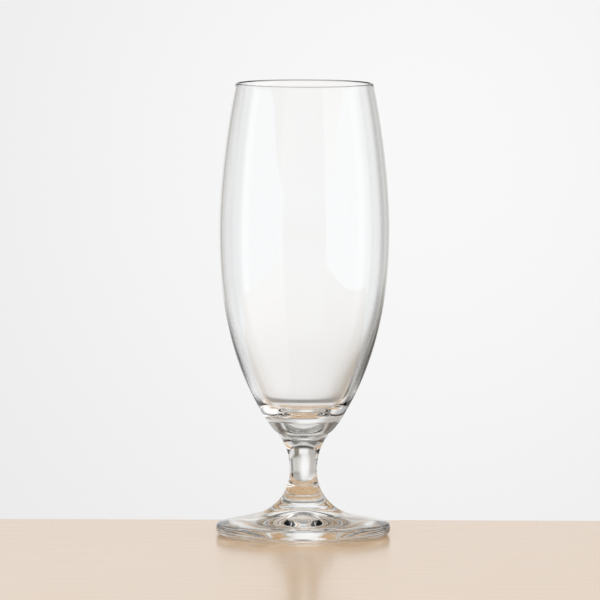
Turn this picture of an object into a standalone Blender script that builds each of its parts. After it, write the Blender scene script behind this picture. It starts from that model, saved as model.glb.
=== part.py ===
# Stemmed beer glass in clear glass: a blown bowl, a short waisted stem and a pressed foot.
# The three are turned pieces, fused end to end at two flat round seams.
# Metres, +Z up, with the axis of the glass on Z and the table at Z = 0.

import bpy
from math import atan2, cos, exp, pi, radians, sin

# Bowl: radii are outside ones, heights are above the table, leans are from straight down
GLASS_HEIGHT = 0.2000
RIM_RADIUS = 0.03045
RIM_LEAN = radians(12)
BELLY_RADIUS = 0.03775
BELLY_HEIGHT = 0.1345
WALL = 0.00125
BOWL_SEAM_HEIGHT = 0.0511
BOWL_SEAM_RADIUS = 0.01665
BOWL_SEAM_LEAN = radians(-31.5)
BASE_THICKNESS = 0.0025
BASE_WALL = 0.00385
CUP_DEPTH = 0.0115
CUP_LEAN = radians(-28)

# Stem: a rounded head that carries on the bowl's lean, a neck, the waist, then the flare into the foot
HEAD_DEPTH = 0.0061
HEAD_LEAN = radians(-66)
NECK_RADIUS = 0.0113
NECK_LEAN = radians(-33)
WAIST_RADIUS = 0.0060
WAIST_HEIGHT = 0.02825
FLARE_RADIUS = 0.0226
FLARE_HEIGHT = 0.0086
FOOT_SEAM_HEIGHT = 0.0200

# Foot: a low cone out to a rounded edge, a flat ring to stand on, and inside it a shallow hollow cone
# with a dome under the stem
FOOT_RADIUS = 0.0386
EDGE_HEIGHT = 0.0029
SHOULDER_WIDTH = 0.00165
SHOULDER_RISE = 0.0026
HEEL_WIDTH = 0.0024
RING_WIDTH = 0.0012
HOLLOW_DEPTH = 0.0022
DOME_DEPTH = 0.0034
DOME_RADIUS = 0.0105

# Room between two fused faces, and the facets of one turn
WELD_GAP = 0.0003
TURN_STEPS = 48

# Reach of a curve's two handles, as shares of its height
RIM_REACH = (0.30, 0.30)
BASE_REACH = (0.55, 0.18)
INSIDE_REACH = (0.49, 0.31)
CUP_REACH = (0.83, 1.10)
HEAD_REACH = (0.55, 0.25)
NECK_REACH = (0.25, 0.55)
FLARE_REACH = (0.51, 0.50)
ROUND_REACH = (0.55, 0.55)

GLASS_COLOUR = (0.93, 0.96, 0.96, 1.0)
GLASS_ROUGHNESS = 0.02
GLASS_IOR = 1.52


def curve(top, top_lean, bottom, bottom_lean, reach, steps):
    """Points (radius, height) of a smooth stretch going down, with the lean of its path at each end."""
    drop = top[1] - bottom[1]
    leave = (top[0] + sin(top_lean) * reach[0] * drop, top[1] - cos(top_lean) * reach[0] * drop)
    arrive = (bottom[0] - sin(bottom_lean) * reach[1] * drop, bottom[1] + cos(bottom_lean) * reach[1] * drop)
    points = []
    for step in range(steps + 1):
        t = step / steps
        shares = ((1 - t) ** 3, 3 * t * (1 - t) ** 2, 3 * t * t * (1 - t), t ** 3)
        corners = (top, leave, arrive, bottom)
        points.append(tuple(sum(s * c[axis] for s, c in zip(shares, corners)) for axis in (0, 1)))
    return points


def radius_at(points, height):
    """Radius of a stretch that goes down, at a height on it."""
    for upper, lower in zip(points, points[1:]):
        if lower[1] <= height <= upper[1]:
            share = (upper[1] - height) / (upper[1] - lower[1])
            return upper[0] + share * (lower[0] - upper[0])
    raise ValueError(f"no point of the outline at height {height}")


def between(points, top, bottom):
    """The part of a stretch that goes down, cut off at two heights."""
    middle = [point for point in points if bottom < point[1] < top]
    return [(radius_at(points, top), top), *middle, (radius_at(points, bottom), bottom)]


def rim_arc(steps=6):
    """The fire-polished rim, a half round from the inside of the wall to the outside."""
    half = WALL / 2
    arc = []
    for step in range(steps + 1):
        angle = RIM_LEAN + pi * (1 - step / steps)
        arc.append((RIM_RADIUS - half + half * cos(angle), GLASS_HEIGHT - half + half * sin(angle)))
    return arc


def bowl_profile():
    rim = rim_arc()
    belly = (BELLY_RADIUS, BELLY_HEIGHT)
    seam = (BOWL_SEAM_RADIUS, BOWL_SEAM_HEIGHT)
    upper = curve(rim[-1], RIM_LEAN, belly, 0, RIM_REACH, 9)
    lower = curve(belly, 0, seam, BOWL_SEAM_LEAN, BASE_REACH, 12)

    floor = (0, BOWL_SEAM_HEIGHT + BASE_THICKNESS)
    cup_height = floor[1] + CUP_DEPTH
    inner_belly = (BELLY_RADIUS - WALL, BELLY_HEIGHT)
    cup_brim = (radius_at(lower, cup_height) - BASE_WALL, cup_height)
    inner_upper = curve(rim[0], RIM_LEAN, inner_belly, 0, RIM_REACH, 8)
    inner_lower = curve(inner_belly, 0, cup_brim, CUP_LEAN, INSIDE_REACH, 10)
    cup = curve(cup_brim, CUP_LEAN, floor, radians(-90), CUP_REACH, 10)

    inside = inner_upper + inner_lower[1:] + cup[1:]
    return inside[::-1] + rim[1:-1] + upper + lower[1:] + [(0, BOWL_SEAM_HEIGHT)]


def flare_line():
    """The flare from the waist out to the foot, which the stem and the foot share."""
    shoulder = (FOOT_RADIUS - SHOULDER_WIDTH, EDGE_HEIGHT + SHOULDER_RISE)
    end_lean = atan2(shoulder[0] - FLARE_RADIUS, FLARE_HEIGHT - shoulder[1])
    flare = curve((WAIST_RADIUS, WAIST_HEIGHT), 0, (FLARE_RADIUS, FLARE_HEIGHT), end_lean, FLARE_REACH, 14)
    return flare, shoulder, end_lean


def stem_profile():
    top = BOWL_SEAM_HEIGHT - WELD_GAP
    neck = (NECK_RADIUS, BOWL_SEAM_HEIGHT - HEAD_DEPTH)
    head = curve((BOWL_SEAM_RADIUS, top), BOWL_SEAM_LEAN, neck, HEAD_LEAN, HEAD_REACH, 7)
    waist = curve(neck, NECK_LEAN, (WAIST_RADIUS, WAIST_HEIGHT), 0, NECK_REACH, 9)
    flare = between(flare_line()[0], WAIST_HEIGHT, FOOT_SEAM_HEIGHT)
    return [(0, top)] + head + waist[1:] + flare[1:] + [(0, FOOT_SEAM_HEIGHT)]


def hollow_line(ring, steps=14):
    """The hollow under the foot from the standing ring in to the axis, domed under the stem."""
    line = []
    for step in range(steps + 1):
        share = 1 - step / steps
        radius = ring * share
        dome = exp(-(radius / DOME_RADIUS) ** 2) - exp(-(ring / DOME_RADIUS) ** 2)
        line.append((radius, HOLLOW_DEPTH * (1 - share) + DOME_DEPTH * dome))
    return line


def foot_profile():
    top = FOOT_SEAM_HEIGHT - WELD_GAP
    flare, shoulder, lean = flare_line()
    edge = (FOOT_RADIUS, EDGE_HEIGHT)
    heel = (FOOT_RADIUS - HEEL_WIDTH, 0)
    ring = heel[0] - RING_WIDTH
    rounded = curve(shoulder, lean, edge, 0, ROUND_REACH, 5)
    turned_in = curve(edge, 0, heel, radians(-90), ROUND_REACH, 5)
    return [(0, top)] + between(flare, top, FLARE_HEIGHT) + rounded + turned_in[1:] + hollow_line(ring)


def clear_glass(name):
    material = bpy.data.materials.new(name)
    material.use_nodes = True
    shader = material.node_tree.nodes["Principled BSDF"]
    shader.inputs["Base Color"].default_value = GLASS_COLOUR
    shader.inputs["Roughness"].default_value = GLASS_ROUGHNESS
    shader.inputs["Metallic"].default_value = 0
    shader.inputs["IOR"].default_value = GLASS_IOR
    shader.inputs["Transmission Weight"].default_value = 1
    return material


def turned(name, profile, seat, collection, parent):
    """A piece turned about Z from its profile, with its origin on the axis at the height where it seats."""
    mesh = bpy.data.meshes.new(name)
    points = [(radius, 0, height - seat) for radius, height in profile]
    mesh.from_pydata(points, [(index, index + 1) for index in range(len(points) - 1)], [])
    piece = bpy.data.objects.new(name, mesh)
    piece.location.z = seat
    piece.parent = parent
    mesh.materials.append(clear_glass(f"{name}_glass"))
    turn = piece.modifiers.new("turn", "SCREW")
    turn.axis = "Z"
    turn.angle = 2 * pi
    turn.steps = TURN_STEPS
    turn.render_steps = TURN_STEPS
    turn.use_merge_vertices = True
    turn.merge_threshold = 0.00001
    turn.use_smooth_shade = True
    collection.objects.link(piece)
    return piece


def main():
    for old in list(bpy.data.objects):
        bpy.data.objects.remove(old)
    collection = bpy.data.collections.new("stemmed_glass")
    bpy.context.scene.collection.children.link(collection)
    axis = bpy.data.objects.new("glass_axis", None)
    collection.objects.link(axis)
    turned("bowl", bowl_profile(), BOWL_SEAM_HEIGHT, collection, axis)
    turned("stem", stem_profile(), FOOT_SEAM_HEIGHT, collection, axis)
    turned("foot", foot_profile(), 0, collection, axis)


main()
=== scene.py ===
from math import atan2, cos, exp, pi, radians, sin, tau

import bpy
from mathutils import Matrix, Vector


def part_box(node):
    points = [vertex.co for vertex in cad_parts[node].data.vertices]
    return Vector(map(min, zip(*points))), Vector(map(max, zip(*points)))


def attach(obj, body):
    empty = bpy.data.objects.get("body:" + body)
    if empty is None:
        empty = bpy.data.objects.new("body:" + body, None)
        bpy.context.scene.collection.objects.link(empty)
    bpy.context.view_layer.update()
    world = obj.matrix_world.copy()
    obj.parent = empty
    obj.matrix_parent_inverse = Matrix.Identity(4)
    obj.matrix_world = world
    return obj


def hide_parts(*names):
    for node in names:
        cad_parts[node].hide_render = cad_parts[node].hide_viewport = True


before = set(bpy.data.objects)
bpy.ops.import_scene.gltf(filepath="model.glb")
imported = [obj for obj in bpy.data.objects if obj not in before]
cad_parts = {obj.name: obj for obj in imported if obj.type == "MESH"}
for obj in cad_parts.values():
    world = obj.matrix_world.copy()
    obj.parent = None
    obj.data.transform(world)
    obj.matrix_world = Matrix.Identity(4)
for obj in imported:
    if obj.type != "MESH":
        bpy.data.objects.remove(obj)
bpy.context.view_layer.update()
scene = bpy.context.scene
bowlLow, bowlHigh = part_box("bowl")
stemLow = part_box("stem")[0]
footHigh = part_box("foot")[1]
print("frame loaded: glass stands", round(bowlHigh.z * 1000, 1), "mm high")

# camera: a long lens from across the room, a little above the rim
view = {
    "distance": 3.59,
    "height": 0.393,
    "aim": (-0.0017, 0.0, 0.1040),
    "lens": 489.0,
    "sensor": 36.0,
    "clip": (0.1, 50.0),
    "roll": radians(0.19),
}


def makeCamera():
    data = bpy.data.cameras.new("productCamera")
    data.lens = view["lens"]
    data.sensor_width = view["sensor"]
    data.clip_start, data.clip_end = view["clip"]
    camera = bpy.data.objects.new("productCamera", data)
    camera.location = (0.0, -view["distance"], view["height"])
    towards = Vector(view["aim"]) - camera.location
    turn = towards.to_track_quat("-Z", "Y").to_matrix()
    camera.rotation_euler = turn.to_euler()
    camera.rotation_euler.rotate_axis("Z", view["roll"])
    scene.collection.objects.link(camera)
    scene.camera = camera


makeCamera()
print("camera set")


# outline tools: a point is (radius, height), a lean is the angle of the path from straight down
def curveDown(top, topLean, bottom, bottomLean, reach, steps):
    drop = top[1] - bottom[1]
    leave = (top[0] + sin(topLean) * reach[0] * drop, top[1] - cos(topLean) * reach[0] * drop)
    arrive = (bottom[0] - sin(bottomLean) * reach[1] * drop, bottom[1] + cos(bottomLean) * reach[1] * drop)
    corners = (top, leave, arrive, bottom)
    points = []
    for step in range(steps + 1):
        t = step / steps
        shares = ((1 - t) ** 3, 3 * t * (1 - t) ** 2, 3 * t * t * (1 - t), t ** 3)
        points.append(tuple(sum(s * c[axis] for s, c in zip(shares, corners)) for axis in (0, 1)))
    return points


def radiusAt(points, height):
    for upper, lower in zip(points, points[1:]):
        if lower[1] <= height <= upper[1]:
            share = (upper[1] - height) / (upper[1] - lower[1])
            return upper[0] + share * (lower[0] - upper[0])
    raise ValueError("height is off the outline")


def between(points, top, bottom):
    middle = [p for p in points if bottom < p[1] < top]
    return [(radiusAt(points, top), top), *middle, (radiusAt(points, bottom), bottom)]


# bowl: blown, thin at the rim and thick at the base
bowl = {
    "rimRadius": 0.03045,
    "rimLean": radians(12),
    "bellyHeight": 0.1345,
    "wall": 0.00125,
    "seamRadius": 0.01665,
    "seamLean": radians(-31.5),
    "baseThickness": 0.0025,
    "baseWall": 0.00385,
    "cupDepth": 0.0115,
    "cupLean": radians(-28),
    "rimReach": (0.30, 0.30),
    "baseReach": (0.55, 0.18),
    "insideReach": (0.49, 0.31),
    "cupReach": (0.83, 1.10),
    "steps": {"rim": 16, "upper": 40, "lower": 70, "innerUpper": 40, "innerLower": 60, "cup": 48},
}
bowlSeam = bowlLow.z


def bowlOutline():
    half = bowl["wall"] / 2
    lean = bowl["rimLean"]
    steps = bowl["steps"]
    rim = []
    for step in range(steps["rim"] + 1):
        angle = lean + pi * (1 - step / steps["rim"])
        rim.append((bowl["rimRadius"] - half + half * cos(angle), bowlHigh.z - half + half * sin(angle)))
    belly = (bowlHigh.x, bowl["bellyHeight"])
    seam = (bowl["seamRadius"], bowlSeam)
    upper = curveDown(rim[-1], lean, belly, 0, bowl["rimReach"], steps["upper"])
    lower = curveDown(belly, 0, seam, bowl["seamLean"], bowl["baseReach"], steps["lower"])
    floor = (0.0, bowlSeam + bowl["baseThickness"])
    cupHeight = floor[1] + bowl["cupDepth"]
    innerBelly = (bowlHigh.x - bowl["wall"], bowl["bellyHeight"])
    cupBrim = (radiusAt(lower, cupHeight) - bowl["baseWall"], cupHeight)
    innerUpper = curveDown(rim[0], lean, innerBelly, 0, bowl["rimReach"], steps["innerUpper"])
    innerLower = curveDown(innerBelly, 0, cupBrim, bowl["cupLean"], bowl["insideReach"], steps["innerLower"])
    cup = curveDown(cupBrim, bowl["cupLean"], floor, radians(-90), bowl["cupReach"], steps["cup"])
    inside = innerUpper + innerLower[1:] + cup[1:]
    return inside[::-1] + rim[1:-1] + upper + lower[1:]


# stem: a rounded head under the bowl, a waist, and a flare that runs on into the foot
stem = {
    "headDepth": 0.0061,
    "headLean": radians(-66),
    "neckRadius": 0.0113,
    "neckLean": radians(-33),
    "waistRadius": 0.0060,
    "waistHeight": 0.02825,
    "flareRadius": 0.0226,
    "flareHeight": 0.0086,
    "headReach": (0.55, 0.25),
    "neckReach": (0.25, 0.55),
    "flareReach": (0.51, 0.50),
    "steps": {"head": 24, "waist": 50, "flare": 90},
}
footSeam = stemLow.z

# foot: a low cone out to a rounded edge, a flat ring to stand on, a shallow hollow domed under the stem
foot = {
    "edgeHeight": 0.0029,
    "shoulderWidth": 0.00165,
    "shoulderRise": 0.0026,
    "heelWidth": 0.0024,
    "ringWidth": 0.0012,
    "hollowDepth": 0.0022,
    "domeDepth": 0.0034,
    "domeRadius": 0.0105,
    "roundReach": (0.55, 0.55),
    "steps": {"cone": 12, "round": 20, "hollow": 80},
}


def flareOutline():
    shoulder = (footHigh.x - foot["shoulderWidth"], foot["edgeHeight"] + foot["shoulderRise"])
    lean = atan2(shoulder[0] - stem["flareRadius"], stem["flareHeight"] - shoulder[1])
    waist = (stem["waistRadius"], stem["waistHeight"])
    end = (stem["flareRadius"], stem["flareHeight"])
    flare = curveDown(waist, 0, end, lean, stem["flareReach"], stem["steps"]["flare"])
    return flare, shoulder, lean


def stemOutline():
    steps = stem["steps"]
    seam = (bowl["seamRadius"], bowlSeam)
    neck = (stem["neckRadius"], bowlSeam - stem["headDepth"])
    waist = (stem["waistRadius"], stem["waistHeight"])
    head = curveDown(seam, bowl["seamLean"], neck, stem["headLean"], stem["headReach"], steps["head"])
    column = curveDown(neck, stem["neckLean"], waist, 0, stem["neckReach"], steps["waist"])
    flare = between(flareOutline()[0], waist[1], footSeam)
    return head + column[1:] + flare[1:]


def footOutline():
    flare, shoulder, lean = flareOutline()
    steps = foot["steps"]
    edge = (footHigh.x, foot["edgeHeight"])
    heel = (edge[0] - foot["heelWidth"], 0.0)
    ring = heel[0] - foot["ringWidth"]
    start, end = Vector(flare[-1]), Vector(shoulder)
    cone = [tuple(start.lerp(end, step / steps["cone"])) for step in range(1, steps["cone"])]
    rounded = curveDown(shoulder, lean, edge, 0, foot["roundReach"], steps["round"])
    turnedIn = curveDown(edge, 0, heel, radians(-90), foot["roundReach"], steps["round"])
    hollow = []
    for step in range(steps["hollow"] + 1):
        share = 1 - step / steps["hollow"]
        radius = ring * share
        dome = exp(-(radius / foot["domeRadius"]) ** 2) - exp(-(ring / foot["domeRadius"]) ** 2)
        hollow.append((radius, foot["hollowDepth"] * (1 - share) + foot["domeDepth"] * dome))
    return between(flare, footSeam, flare[-1][1]) + cone + rounded + turnedIn[1:] + hollow


# hot glass never runs quite true: slow waves round the axis
melt = {
    "waves": (
        # turns round the axis, climb, start, depth in metres
        (2, 31.0, 0.4, 0.000050),
        (3, -47.0, 1.9, 0.000035),
        (5, 88.0, 4.1, 0.000018),
    ),
    "fullRadius": 0.006,  # the waves die out nearer the axis than this
}


def meltOffset(angle, radius, height):
    wave = 0.0
    for turns, climb, start, depth in melt["waves"]:
        wave += depth * sin(turns * angle + climb * height + start)
    return wave * min(1.0, radius / melt["fullRadius"])


# turning: rings of points about Z, poles where the outline meets the axis
turning = {"facets": 192, "sharpAngle": radians(45), "poleRadius": 1e-7}


def turnedPiece(name, outline, capTop, capBottom, material, seamMaterial):
    facets = turning["facets"]
    verts, faces, seamFaces, rings = [], [], [], []
    path = list(outline)
    if capTop:
        path.insert(0, (0.0, outline[0][1]))
    if capBottom:
        path.append((0.0, outline[-1][1]))
    for radius, height in path:
        if radius < turning["poleRadius"]:
            rings.append([len(verts)] * facets)
            verts.append((0.0, 0.0, height))
            continue
        rings.append(list(range(len(verts), len(verts) + facets)))
        for facet in range(facets):
            angle = tau * facet / facets
            reach = radius + meltOffset(angle, radius, height)
            verts.append((reach * cos(angle), reach * sin(angle), height))
    for index, (upper, lower) in enumerate(zip(rings, rings[1:])):
        isSeam = (capTop and index == 0) or (capBottom and index == len(rings) - 2)
        for facet in range(facets):
            after = (facet + 1) % facets
            corners = [upper[facet], lower[facet], lower[after], upper[after]]
            if isSeam:
                seamFaces.append(len(faces))
            faces.append(list(dict.fromkeys(corners)))
    mesh = bpy.data.meshes.new(name)
    mesh.from_pydata(verts, [], faces)
    mesh.materials.append(material)
    mesh.materials.append(seamMaterial)
    for index in seamFaces:
        mesh.polygons[index].material_index = 1
    mesh.shade_smooth()
    mesh.set_sharp_from_angle(angle=turning["sharpAngle"])
    mesh.validate()
    piece = bpy.data.objects.new(name, mesh)
    scene.collection.objects.link(piece)
    return piece


# node helpers: an input takes a number or another node's output
def feed(tree, socket, value):
    if isinstance(value, bpy.types.NodeSocket):
        tree.links.new(value, socket)
    else:
        socket.default_value = value


def calc(tree, operation, first, second=0.0):
    node = tree.nodes.new("ShaderNodeMath")
    node.operation = operation
    feed(tree, node.inputs[0], first)
    feed(tree, node.inputs[1], second)
    return node.outputs[0]


def ramped(tree, value, fromLow, fromHigh, toLow, toHigh, curve="LINEAR"):
    node = tree.nodes.new("ShaderNodeMapRange")
    node.interpolation_type = curve
    for name, amount in (("Value", value), ("From Min", fromLow), ("From Max", fromHigh),
                         ("To Min", toLow), ("To Max", toHigh)):
        feed(tree, node.inputs[name], amount)
    return node.outputs[0]


def blended(tree, share, first, second):
    node = tree.nodes.new("ShaderNodeMix")
    node.data_type = "RGBA"
    feed(tree, node.inputs["Factor"], share)
    feed(tree, node.inputs["A"], first)
    feed(tree, node.inputs["B"], second)
    return node.outputs["Result"]


def makeNoise(tree, place, stretch, scale, detail):
    mapping = tree.nodes.new("ShaderNodeMapping")
    feed(tree, mapping.inputs["Vector"], place)
    feed(tree, mapping.inputs["Scale"], stretch)
    node = tree.nodes.new("ShaderNodeTexNoise")
    feed(tree, node.inputs["Vector"], mapping.outputs["Vector"])
    feed(tree, node.inputs["Scale"], scale)
    feed(tree, node.inputs["Detail"], detail)
    return node.outputs["Fac"]


# melt waves: the slow streaks of drawn glass, shared by the three glasses
streaking = {
    "stretch": (1.0, 1.0, 0.22),
    "detail": 1.5,
    "smearStretch": (1.0, 1.0, 1.0),
    "smearFineness": 3.0,
    "smearDetail": 3.0,
}


def makeMeltWaves():
    group = bpy.data.node_groups.new("meltWaves", "ShaderNodeTree")
    sockets = group.interface
    for name in ("Tint", "Thick Tint"):
        sockets.new_socket(name, in_out="INPUT", socket_type="NodeSocketColor")
    for name in ("Scale", "Polish", "Smear"):
        sockets.new_socket(name, in_out="INPUT", socket_type="NodeSocketFloat")
    for name, kind in (("Colour", "Color"), ("Roughness", "Float"), ("Height", "Float")):
        sockets.new_socket(name, in_out="OUTPUT", socket_type="NodeSocket" + kind)
    given = group.nodes.new("NodeGroupInput").outputs
    place = group.nodes.new("ShaderNodeTexCoord").outputs["Object"]
    streaks = makeNoise(group, place, streaking["stretch"], given["Scale"], streaking["detail"])
    smearScale = calc(group, "MULTIPLY", given["Scale"], streaking["smearFineness"])
    smears = makeNoise(group, place, streaking["smearStretch"], smearScale, streaking["smearDetail"])
    haze = calc(group, "MULTIPLY", smears, given["Smear"])
    result = group.nodes.new("NodeGroupOutput").inputs
    feed(group, result["Colour"], blended(group, streaks, given["Tint"], given["Thick Tint"]))
    feed(group, result["Roughness"], calc(group, "ADD", given["Polish"], haze))
    feed(group, result["Height"], streaks)
    return group


meltWaves = makeMeltWaves()

# glass finishes: one clear melt, streaked a little differently by blowing, drawing and pressing
finishes = {
    "bowl": {
        "Tint": (0.993, 0.997, 1.0, 1.0),
        "Thick Tint": (0.988, 0.995, 0.998, 1.0),
        "Scale": 55.0,
    },
    "stem": {
        "Tint": (0.995, 1.0, 0.998, 1.0),
        "Thick Tint": (0.97, 0.985, 0.98, 1.0),
        "Scale": 90.0,
    },
    "foot": {
        "Tint": (0.995, 1.0, 0.998, 1.0),
        "Thick Tint": (0.97, 0.985, 0.98, 1.0),
        "Scale": 70.0,
    },
}
clearGlass = {"Polish": 0.004, "Smear": 0.016}  # what the three finishes share
glassOptics = {"ior": 1.52, "bump": 0.5, "bumpDepth": 0.00002}


def makeGlass(name):
    material = bpy.data.materials.new(name + "Glass")
    material.use_nodes = True
    tree = material.node_tree
    shader = tree.nodes["Principled BSDF"]
    waves = tree.nodes.new("ShaderNodeGroup")
    waves.node_tree = meltWaves
    for socket, value in {**finishes[name], **clearGlass}.items():
        waves.inputs[socket].default_value = value
    bump = tree.nodes.new("ShaderNodeBump")
    bump.inputs["Strength"].default_value = glassOptics["bump"]
    bump.inputs["Distance"].default_value = glassOptics["bumpDepth"]
    feed(tree, bump.inputs["Height"], waves.outputs["Height"])
    feed(tree, shader.inputs["Base Color"], waves.outputs["Colour"])
    feed(tree, shader.inputs["Roughness"], waves.outputs["Roughness"])
    feed(tree, shader.inputs["Normal"], bump.outputs["Normal"])
    shader.inputs["IOR"].default_value = glassOptics["ior"]
    shader.inputs["Transmission Weight"].default_value = 1.0
    return material


def makeFusedSeam():  # where two pieces are fused there is no surface to see
    material = bpy.data.materials.new("fusedSeam")
    material.use_nodes = True
    material.node_tree.nodes["Principled BSDF"].inputs["Alpha"].default_value = 0.0
    return material


fusedSeam = makeFusedSeam()
bowlPiece = turnedPiece("bowlBlown", bowlOutline(), False, True, makeGlass("bowl"), fusedSeam)
stemPiece = turnedPiece("stemDrawn", stemOutline(), True, True, makeGlass("stem"), fusedSeam)
footPiece = turnedPiece("footPressed", footOutline(), True, False, makeGlass("foot"), fusedSeam)
for piece, node in ((bowlPiece, "bowl"), (stemPiece, "stem"), (footPiece, "foot")):
    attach(piece, "root")
    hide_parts(node)
print("glass turned")

# stage: a pale lacquered table, its far edge just behind the foot and its right edge an arm's length away
board = {
    "left": -0.45,
    "front": -1.40,
    "back": 0.0590,
    "rightBack": 0.53,
    "bend": (0.38, -0.26),
    "rightFront": 0.365,
    "thickness": 0.02,
    "drop": 0.00004,  # clear of the standing ring by a hair
    "light": (0.72, 0.49, 0.285, 1.0),
    "dark": (0.66, 0.44, 0.245, 1.0),
    "grain": {"stretch": (0.06, 1.0, 1.0), "scale": 420.0, "detail": 4.0, "share": 0.45},
    "cloud": {"stretch": (1.0, 1.0, 1.0), "scale": 9.0, "detail": 2.0, "share": 0.55},
    "grainSpan": (0.3, 0.7),
    "roughness": (0.19, 0.25),
    "specular": 0.40,
    "coat": 0.36,
    "coatRoughness": 0.12,
    "bump": 0.15,
    "bumpDepth": 0.0002,
}


def makeBoardFinish():
    material = bpy.data.materials.new("paleBoard")
    material.use_nodes = True
    tree = material.node_tree
    shader = tree.nodes["Principled BSDF"]
    place = tree.nodes.new("ShaderNodeTexCoord").outputs["Object"]
    grainLook, cloudLook = board["grain"], board["cloud"]
    grain = makeNoise(tree, place, grainLook["stretch"], grainLook["scale"], grainLook["detail"])
    cloud = makeNoise(tree, place, cloudLook["stretch"], cloudLook["scale"], cloudLook["detail"])
    grainPart = calc(tree, "MULTIPLY", grain, grainLook["share"])
    cloudPart = calc(tree, "MULTIPLY", cloud, cloudLook["share"])
    mixed = calc(tree, "ADD", grainPart, cloudPart)
    feed(tree, shader.inputs["Base Color"], blended(tree, mixed, board["dark"], board["light"]))
    feed(tree, shader.inputs["Roughness"], ramped(tree, grain, *board["grainSpan"], *board["roughness"]))
    shader.inputs["Specular IOR Level"].default_value = board["specular"]
    shader.inputs["Coat Weight"].default_value = board["coat"]
    shader.inputs["Coat Roughness"].default_value = board["coatRoughness"]
    bump = tree.nodes.new("ShaderNodeBump")
    bump.inputs["Strength"].default_value = board["bump"]
    bump.inputs["Distance"].default_value = board["bumpDepth"]
    feed(tree, bump.inputs["Height"], grain)
    feed(tree, shader.inputs["Normal"], bump.outputs["Normal"])
    return material


def makeBoard():
    left, front, back = board["left"], board["front"], board["back"]
    rightEdge = [(board["rightBack"], back), board["bend"], (board["rightFront"], front)]
    rim = [(left, back), *rightEdge, (left, front)]
    count = len(rim)
    high = -board["drop"]
    low = high - board["thickness"]
    verts = [(x, y, high) for x, y in rim] + [(x, y, low) for x, y in rim]
    faces = [list(range(count))[::-1], [count + index for index in range(count)]]
    for index in range(count):
        after = (index + 1) % count
        faces.append([index, after, after + count, index + count])
    mesh = bpy.data.meshes.new("paleBoard")
    mesh.from_pydata(verts, [], faces)
    mesh.materials.append(makeBoardFinish())
    top = bpy.data.objects.new("paleBoard", mesh)
    scene.collection.objects.link(top)


makeBoard()
print("board laid")

# studio: azimuth 0 is behind the glass, 90 to its right, and elevation is above the table, in degrees
studio = {
    "fill": (0.93, 0.93, 0.93, 1.0),
    "room": (0.86, 0.86, 0.86, 1.0),
    # painted light: the backdrop seen straight on carries a painted pool of light, brightest at backdropAt
    # and darker towards its edge
    "backdropAt": (0.8, -3.6),
    "backdropSize": (5.0, 5.0),
    "backdrop": (0.94, 0.94, 0.94, 1.0),
    "backdropPaintedPoolEdge": (0.82, 0.82, 0.82, 1.0),
    "glowAt": (-4.0, -2.0),
    "glowSize": (16.0, 16.0),
    "glowPower": 4.0,
    "glow": (0.968, 0.968, 0.968, 1.0),
    "walls": (
        # azimuths, elevations, edge blur, colour
        ((-200, 200), (20, 91), 10, (0.40, 0.39, 0.37, 1.0)),  # dim ceiling
        ((-200, 200), (82, 95), 4, (0.34, 0.34, 0.34, 1.0)),  # over the glass
        ((-200, -100), (40, 68), 7, (0.10, 0.10, 0.10, 1.0)),  # dark room in front on the left
        ((100, 200), (40, 68), 7, (0.10, 0.10, 0.10, 1.0)),  # dark room in front on the right
        ((-148, -98), (-20, 34), 5, (0.56, 0.56, 0.56, 1.0)),  # the left of the room
        ((-200, -148), (-20, 34), 5, (0.80, 0.81, 0.83, 1.0)),  # the front of the room, left half
        ((148, 200), (-20, 34), 5, (0.80, 0.81, 0.83, 1.0)),  # the front of the room, right half
        ((-200, -148), (-20, 1), 4, (0.71, 0.63, 0.57, 1.0)),  # low down in front, left half
        ((148, 200), (-20, 1), 4, (0.71, 0.63, 0.57, 1.0)),  # low down in front, right half
        ((-82, -58), (-18, 40), 5, (0.18, 0.18, 0.18, 1.0)),  # dark screen on the left
        ((-58, 4), (-15, 62), 8, (0.50, 0.48, 0.46, 1.0)),  # grey wall behind on the left
        ((4, 36), (-28, -6), 5, (0.46, 0.44, 0.41, 1.0)),  # low wall behind on the right
        ((4, 36), (-10, 62), 5, (0.20, 0.18, 0.15, 1.0)),  # darker wall above it
        ((9, 38), (-8, 8), 3, (0.60, 0.59, 0.57, 1.0)),  # a lighter stretch between them
        ((54, 80), (-20, 24), 4, (0.78, 0.78, 0.78, 1.0)),  # light side wall on the right
        ((36, 54), (-40, -9), 3, (0.05, 0.045, 0.04, 1.0)),  # dark screen on the right
        ((38, 54), (-9, 10), 3, (0.27, 0.26, 0.25, 1.0)),  # half shade over it
        ((-75, -40), (18, 56), 5, (0.14, 0.13, 0.12, 1.0)),  # dark top of the left wall
        ((30, 52), (30, 72), 5, (0.08, 0.08, 0.08, 1.0)),  # dark top of the right wall
        ((-30, 30), (24, 34), 4, (0.06, 0.06, 0.06, 1.0)),  # dark gap over the backdrop
        ((-12, 12), (11, 23), 4, (0.92, 0.92, 0.91, 1.0)),  # the backdrop's upper part
        ((-70, -50), (10, 24), 4, (0.85, 0.85, 0.84, 1.0)),  # pale patch over the left screen
        ((-30, 30), (35, 46), 4, (0.75, 0.75, 0.74, 1.0)),  # pale wall over the gap
        ((12, 24), (12, 24), 3, (0.24, 0.22, 0.19, 1.0)),  # shade beside the backdrop's upper part
        ((-18, 18), (-36, -21), 4, (0.28, 0.28, 0.28, 1.0)),  # shade under the board
        ((-30, 30), (70, 81), 4, (0.12, 0.12, 0.12, 1.0)),  # gap over the strip
    ),
    "panels": (
        ((-40, 40), (45, 60), 4, (0.98, 0.98, 0.98, 1.0)),  # strip over the backdrop
        ((26, 58), (12, 28), 4, (0.82, 0.82, 0.82, 1.0)),  # bar over the dark screen
    ),
}

# softbox: one large lamp beyond the right edge of the table
softbox = {
    "at": (0.62, -0.47, 0.40),
    "turn": (radians(90), 0.0, radians(90)),  # facing the glass, upright
    "width": 1.20,
    "height": 1.10,
    "radiance": 0.46,
}


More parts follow.
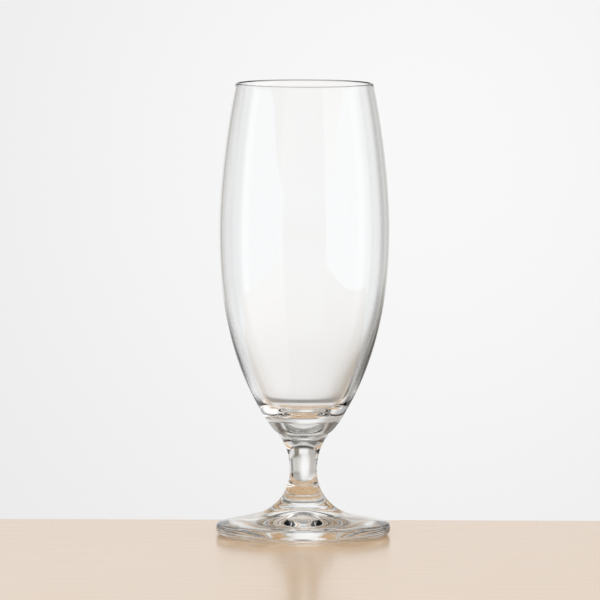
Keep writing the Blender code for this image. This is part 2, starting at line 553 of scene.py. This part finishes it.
def makeSoftbox():
    lamp = bpy.data.lights.new("softbox", "AREA")
    lamp.shape = "RECTANGLE"
    lamp.size = softbox["width"]
    lamp.size_y = softbox["height"]
    lamp.energy = softbox["radiance"] * pi * softbox["width"] * softbox["height"]
    lamp.use_nodes = True
    tree = lamp.node_tree
    path = tree.nodes.new("ShaderNodeLightPath").outputs
    throughGlass = calc(tree, "GREATER_THAN", path["Transmission Depth"], 0.5)
    unmirrored = calc(tree, "LESS_THAN", path["Glossy Depth"], 0.5)
    hidden = calc(tree, "MULTIPLY", throughGlass, unmirrored)  # it stays out of the view through the glass
    feed(tree, tree.nodes["Emission"].inputs["Strength"], calc(tree, "SUBTRACT", 1.0, hidden))
    holder = bpy.data.objects.new("softbox", lamp)
    holder.location = softbox["at"]
    holder.rotation_euler = softbox["turn"]
    scene.collection.objects.link(holder)


makeSoftbox()


def makeStudio():
    world = bpy.data.worlds.new("studio")
    world.use_nodes = True
    tree = world.node_tree
    towards = tree.nodes.new("ShaderNodeSeparateXYZ")
    feed(tree, towards.inputs[0], tree.nodes.new("ShaderNodeTexCoord").outputs["Generated"])
    degrees = 360 / tau
    bearing = calc(tree, "ARCTAN2", towards.outputs["X"], towards.outputs["Y"])
    azimuth = calc(tree, "MULTIPLY", bearing, degrees)
    elevation = calc(tree, "MULTIPLY", calc(tree, "ARCSINE", towards.outputs["Z"]), degrees)

    def within(value, span, blur):
        rise = ramped(tree, value, span[0] - blur, span[0] + blur, 0.0, 1.0, "SMOOTHSTEP")
        fall = ramped(tree, value, span[1] - blur, span[1] + blur, 1.0, 0.0, "SMOOTHSTEP")
        return calc(tree, "MULTIPLY", rise, fall)

    def awayFrom(place, size):
        across = calc(tree, "DIVIDE", calc(tree, "SUBTRACT", azimuth, place[0]), size[0])
        up = calc(tree, "DIVIDE", calc(tree, "SUBTRACT", elevation, place[1]), size[1])
        acrossSquare = calc(tree, "MULTIPLY", across, across)
        upSquare = calc(tree, "MULTIPLY", up, up)
        return calc(tree, "SQRT", calc(tree, "ADD", acrossSquare, upSquare))

    def overlay(light, panels):
        for azimuths, elevations, blur, colour in panels:
            sideways = within(azimuth, azimuths, blur)
            upright = within(elevation, elevations, blur)
            light = blended(tree, calc(tree, "MULTIPLY", sideways, upright), light, colour)
        return light

    light = overlay(studio["room"], studio["walls"])
    spread = awayFrom(studio["glowAt"], studio["glowSize"])
    falloff = calc(tree, "POWER", spread, studio["glowPower"])
    halo = calc(tree, "EXPONENT", calc(tree, "MULTIPLY", falloff, -1.0))
    light = blended(tree, halo, light, studio["glow"])
    light = overlay(light, studio["panels"])

    # painted pool of light on the backdrop: 0.94 at its middle, fading to a painted darker 0.82 towards its
    # edge
    offCentre = awayFrom(studio["backdropAt"], studio["backdropSize"])
    paintedPoolFade = ramped(tree, offCentre, 0.0, 1.0, 0.0, 1.0, "SMOOTHSTEP")
    backdrop = blended(tree, paintedPoolFade, studio["backdrop"], studio["backdropPaintedPoolEdge"])

    path = tree.nodes.new("ShaderNodeLightPath").outputs
    glassy = calc(tree, "MAXIMUM", path["Is Glossy Ray"], path["Is Transmission Ray"])
    unscattered = calc(tree, "LESS_THAN", path["Diffuse Depth"], 0.5)
    seenInGlass = calc(tree, "MULTIPLY", glassy, unscattered)
    colour = blended(tree, seenInGlass, studio["fill"], light)
    colour = blended(tree, path["Is Camera Ray"], colour, backdrop)
    feed(tree, tree.nodes["Background"].inputs["Color"], colour)
    scene.world = world


makeStudio()

# light paths: long enough to get through the thick base and foot, and kept sharp
scene.cycles.max_bounces = 32
scene.cycles.transmission_bounces = 32
scene.cycles.glossy_bounces = 8
scene.cycles.transparent_max_bounces = 32
scene.cycles.blur_glossy = 0.0
scene.view_settings.view_transform = "Standard"
print("studio lit")
